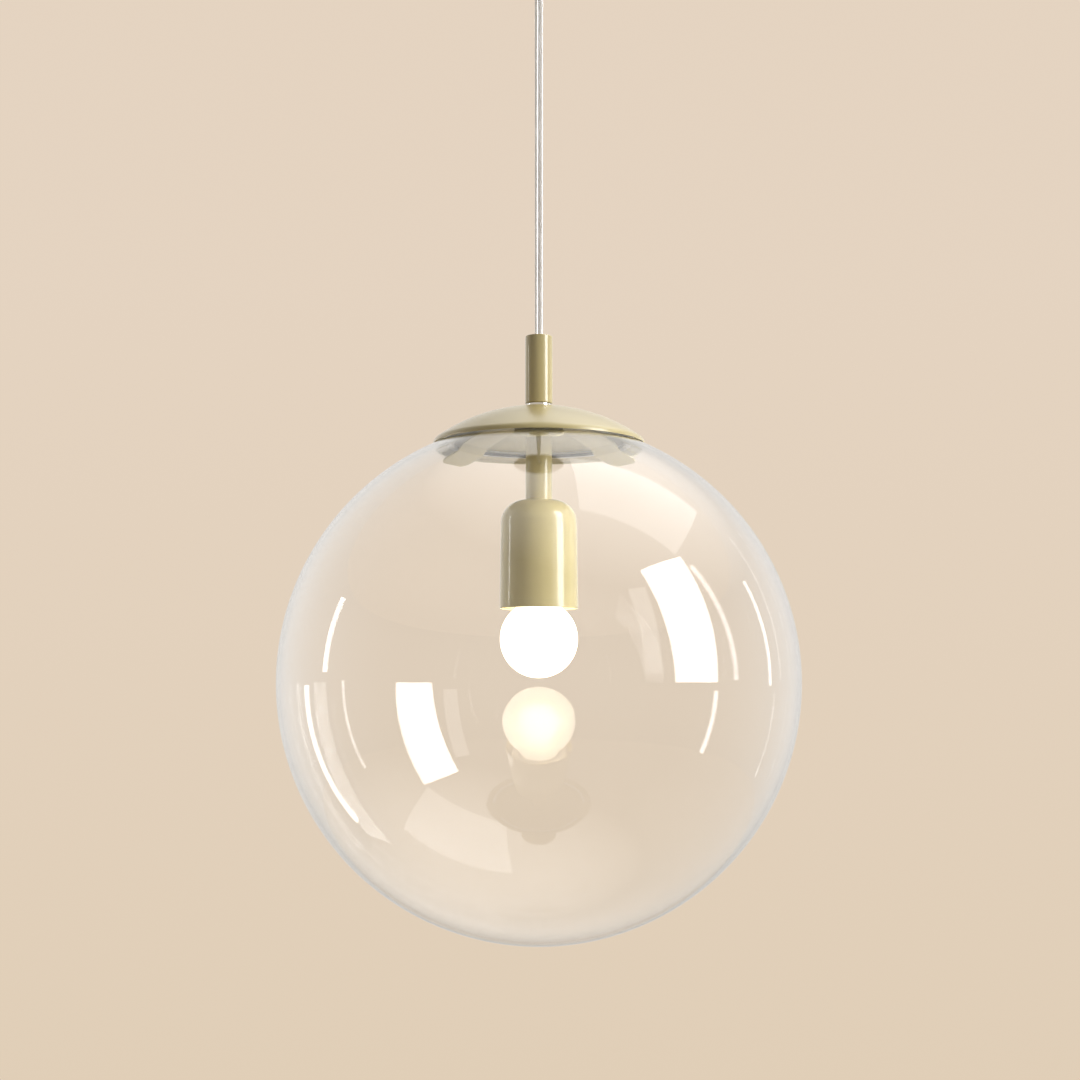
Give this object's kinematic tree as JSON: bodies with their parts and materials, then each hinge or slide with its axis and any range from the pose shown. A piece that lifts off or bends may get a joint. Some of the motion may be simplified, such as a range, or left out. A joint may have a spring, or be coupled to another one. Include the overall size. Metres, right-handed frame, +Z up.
{
  "type": "pendant ceiling light",
  "caption": "Glass globe pendant ceiling light with a painted dome cap, lampholder, opal bulb, clear cable and round ceiling rose.",
  "frame": {"origin": "centre of the ceiling bracket's upper face, which lies on the ceiling", "axes": "+Z points up out of the ceiling face, +X runs along the ceiling bracket, and the light hangs down along -Z"},
  "size_m": [0.2999, 0.3, 0.616],
  "materials": {
    "painted_metal": "gloss pastel yellow lacquer",
    "painted_screws": "gloss pastel yellow lacquer",
    "zinc_steel": "zinc plated, satin",
    "chrome": "polished",
    "clear_nylon": "translucent, smooth",
    "terminal_plastic": "moulded",
    "brass": "satin",
    "clear_sheath": "clear flexible sheath",
    "core_silver": "clear insulation over tinned strands",
    "silicone": "translucent silicone",
    "clear_glass": "clear, blown, polished",
    "holder_plastic": "moulded thermoplastic",
    "porcelain": "glazed porcelain",
    "opal_glass": "opal, smooth",
    "bulb_plastic": "moulded",
    "circuit_board": "white solder mask",
    "nickel": "nickel plated",
    "black_insulator": "moulded"
  },
  "bodies": {
    "rose": {"ceiling_bracket": "zinc_steel", "rose_cover": "painted_metal", "cover_screws": "painted_screws", "cord_grip": "clear_nylon", "grip_nut": "zinc_steel", "grip_screw": "clear_nylon", "terminal_block": "terminal_plastic", "block_tubes": "brass", "block_screws": "zinc_steel", "block_fixings": "zinc_steel", "cable_tail": "clear_sheath", "rose_leads": "core_silver"},
    "swing_link": {"cable_bend": "clear_sheath"},
    "hanging_cable": {"cable": "clear_sheath"},
    "lamp": {"sleeve_tube": "painted_metal", "sleeve_bush": "clear_nylon", "cord_clamp": "clear_nylon", "clamp_screw": "zinc_steel", "chrome_ring": "chrome", "dome_cap": "painted_metal", "cap_spacer": "zinc_steel", "gasket_ring": "silicone", "spring_hub": "painted_metal", "upper_nipple": "zinc_steel", "stem_tube": "painted_metal", "lower_nipple": "zinc_steel", "holder_cover": "painted_metal", "cover_nut": "zinc_steel", "holder_top": "holder_plastic", "holder_insert": "porcelain", "holder_skirt": "holder_plastic", "screw_shell": "brass", "centre_contact": "brass", "holder_terminals": "brass", "terminal_screws": "zinc_steel", "lamp_leads": "core_silver"},
    "globe": {"glass_globe": "clear_glass"},
    "arm_1": {"spring_arm_1": "painted_metal"},
    "arm_2": {"spring_arm_2": "painted_metal"},
    "arm_3": {"spring_arm_3": "painted_metal"},
    "bulb_carrier": {"bulb_tip_contact": "brass"},
    "bulb": {"bulb_globe": "opal_glass", "bulb_collar": "bulb_plastic", "led_board": "circuit_board", "bulb_screw_cap": "nickel", "bulb_insulator": "black_insulator"}
  },
  "joints": [
    {"name": "swing_side", "type": "hinge", "parent": "rose", "child": "swing_link", "pos_m": [0, 0, -0.037], "axis": [0, 1, 0], "range_deg": [-15, 15]},
    {"name": "swing_fore", "type": "hinge", "parent": "swing_link", "child": "hanging_cable", "pos_m": [0, 0, -0.037], "axis": [1, 0, 0], "range_deg": [-15, 15]},
    {"name": "lamp_twist", "type": "hinge", "parent": "hanging_cable", "child": "lamp", "pos_m": [0, 0, -0.2646], "axis": [0, 0, 1], "range_deg": [-180, 180]},
    {"name": "globe_pull", "type": "slide", "parent": "lamp", "child": "globe", "axis": [0, 0, 1], "range_m": [-0.015, 0], "stiffness_N_per_m": 600, "springref_m": 0.045},
    {"name": "arm_flex_1", "type": "hinge", "parent": "lamp", "child": "arm_1", "pos_m": [0.01784, 0.0103, -0.31115], "axis": [-0.5, 0.866, 0], "range_deg": [0, 22.5]},
    {"name": "arm_flex_2", "type": "hinge", "parent": "lamp", "child": "arm_2", "pos_m": [-0.01784, 0.0103, -0.31115], "axis": [-0.5, -0.866, 0], "range_deg": [0, 22.5]},
    {"name": "arm_flex_3", "type": "hinge", "parent": "lamp", "child": "arm_3", "pos_m": [0, -0.0206, -0.31115], "axis": [1, 0, 0], "range_deg": [0, 22.5]},
    {"name": "bulb_advance", "type": "slide", "parent": "lamp", "child": "bulb_carrier", "axis": [0, 0, 1], "range_m": [-0.0145, 0]},
    {"name": "bulb_turn", "type": "hinge", "parent": "bulb_carrier", "child": "bulb", "pos_m": [0, 0, -0.466], "axis": [0, 0, 1], "range_deg": [-1440, 0]}
  ],
  "couplings": [
    {"joint": "arm_flex_1", "follows": "globe_pull", "rad_per_m": -26.1},
    {"joint": "arm_flex_2", "follows": "globe_pull", "rad_per_m": -26.1},
    {"joint": "arm_flex_3", "follows": "globe_pull", "rad_per_m": -26.1},
    {"joint": "bulb_turn", "follows": "bulb_advance", "rad_per_m": 1731.4}
  ]
}
